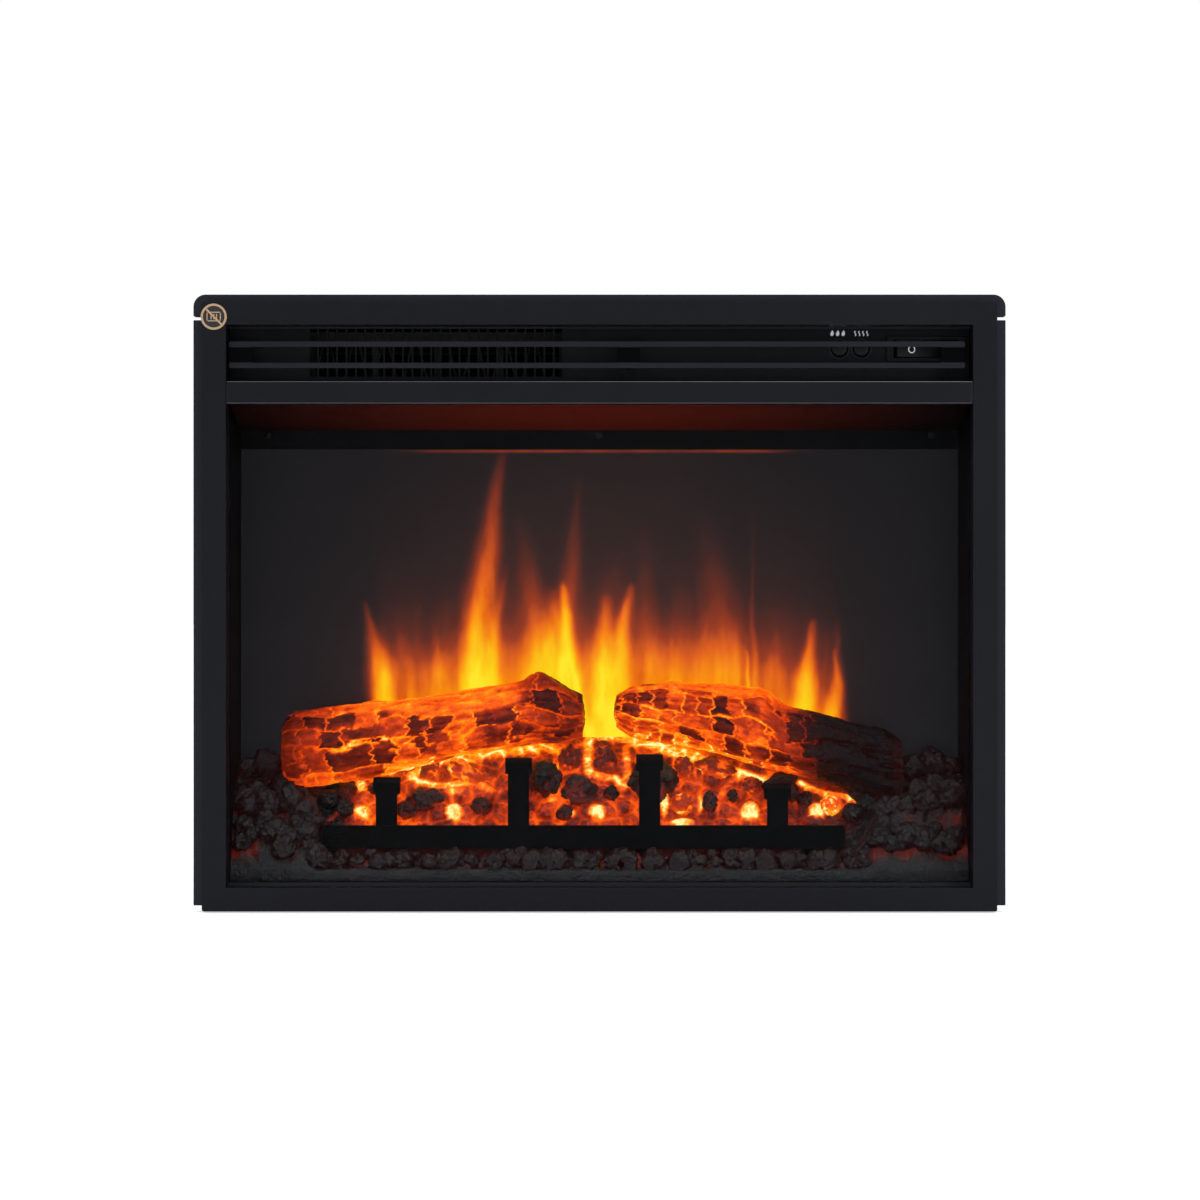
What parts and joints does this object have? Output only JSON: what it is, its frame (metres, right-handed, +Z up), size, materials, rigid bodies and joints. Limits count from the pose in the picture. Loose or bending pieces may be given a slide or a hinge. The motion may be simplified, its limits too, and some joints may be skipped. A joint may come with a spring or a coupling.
{
  "type": "electric fireplace insert",
  "caption": "Black steel electric fireplace insert: framed window over logs, ember bed and flame screen, with a control grille and fan heater above.",
  "frame": {"origin": "centre of the footprint, on the surface that the feet stand on", "axes": "+X to the right along the width, front faces -Y, +Z up"},
  "size_m": [0.662, 0.2, 0.5035],
  "materials": {
    "black_steel": "satin black powder coat",
    "inner_steel": "matt black",
    "grille_paint": "satin dark grey",
    "zinc_steel": "zinc plated",
    "polished_sheet": "polished",
    "black_plastic": "fine grain",
    "rubber": "matt",
    "window_glass": "clear tempered",
    "smoked_acrylic": "smoked, with diffusing back",
    "circuit_board": "solder mask",
    "mica": "matt",
    "nichrome": "wire",
    "ember_resin": "translucent resin, painted",
    "log_resin": "painted bark",
    "grate_paint": "matt black",
    "cream_plastic": "matt"
  },
  "bodies": {
    "casing": {"front_frame": "black_steel", "brow_rail": "black_steel", "top_trim": "black_steel", "left_trim": "black_steel", "right_trim": "black_steel", "base_pan": "inner_steel", "top_panel": "inner_steel", "left_side_panel": "inner_steel", "right_side_panel": "inner_steel", "back_panel": "inner_steel", "foot_front_left": "rubber", "foot_front_right": "rubber", "foot_rear_left": "rubber", "foot_rear_right": "rubber", "cable_gland": "black_plastic", "terminal_block": "cream_plastic", "front_glass": "window_glass", "glass_gasket": "rubber", "left_glass_clip": "zinc_steel", "right_glass_clip": "zinc_steel", "control_fascia": "inner_steel", "louvre_grille": "grille_paint", "flame_tact_switch": "zinc_steel", "heater_tact_switch": "zinc_steel", "control_board": "circuit_board", "switch_bezel": "black_plastic", "heater_housing": "inner_steel", "blower_bearing": "black_plastic", "blower_motor": "zinc_steel", "heater_element_frame": "mica", "heater_coil": "nichrome", "thermal_cutout": "black_plastic", "firebox_floor": "inner_steel", "firebox_left_wall": "inner_steel", "firebox_right_wall": "inner_steel", "firebox_soffit": "inner_steel", "screen_strip": "inner_steel", "flame_screen": "smoked_acrylic", "screen_screw_1": "black_steel", "screen_screw_2": "black_steel", "screen_screw_3": "black_steel", "flame_reflector": "polished_sheet", "flicker_bush": "black_plastic", "flicker_motor": "zinc_steel", "flicker_motor_bracket": "zinc_steel", "flame_led_board": "circuit_board", "ember_led_board": "circuit_board", "left_log": "log_resin", "right_log": "log_resin", "ember_bed": "ember_resin", "grate": "grate_paint"},
    "rocker": {"power_rocker": "black_plastic"},
    "flame_push": {"flame_key": "black_plastic"},
    "heater_push": {"heater_key": "black_plastic"},
    "blower": {"blower_impeller": "inner_steel"},
    "flicker": {"flicker_rod": "polished_sheet"}
  },
  "joints": [
    {"name": "rocker_tilt", "type": "hinge", "parent": "casing", "child": "rocker", "pos_m": [0.2677, -0.071, 0.4604], "axis": [0, 0, -1], "range_deg": [0, 16]},
    {"name": "flame_press", "type": "slide", "parent": "casing", "child": "flame_push", "axis": [0, 1, 0], "range_m": [0, 0.0012], "stiffness_N_per_m": 500, "springref_m": -0.001},
    {"name": "heater_press", "type": "slide", "parent": "casing", "child": "heater_push", "axis": [0, 1, 0], "range_m": [0, 0.0012], "stiffness_N_per_m": 500, "springref_m": -0.001},
    {"name": "blower_spin", "type": "hinge", "parent": "casing", "child": "blower", "pos_m": [-0.134, -0.0045, 0.4517], "axis": [1, 0, 0], "continuous": true},
    {"name": "flicker_spin", "type": "hinge", "parent": "casing", "child": "flicker", "pos_m": [0, 0.052, 0.0495], "axis": [1, 0, 0], "continuous": true}
  ]
}
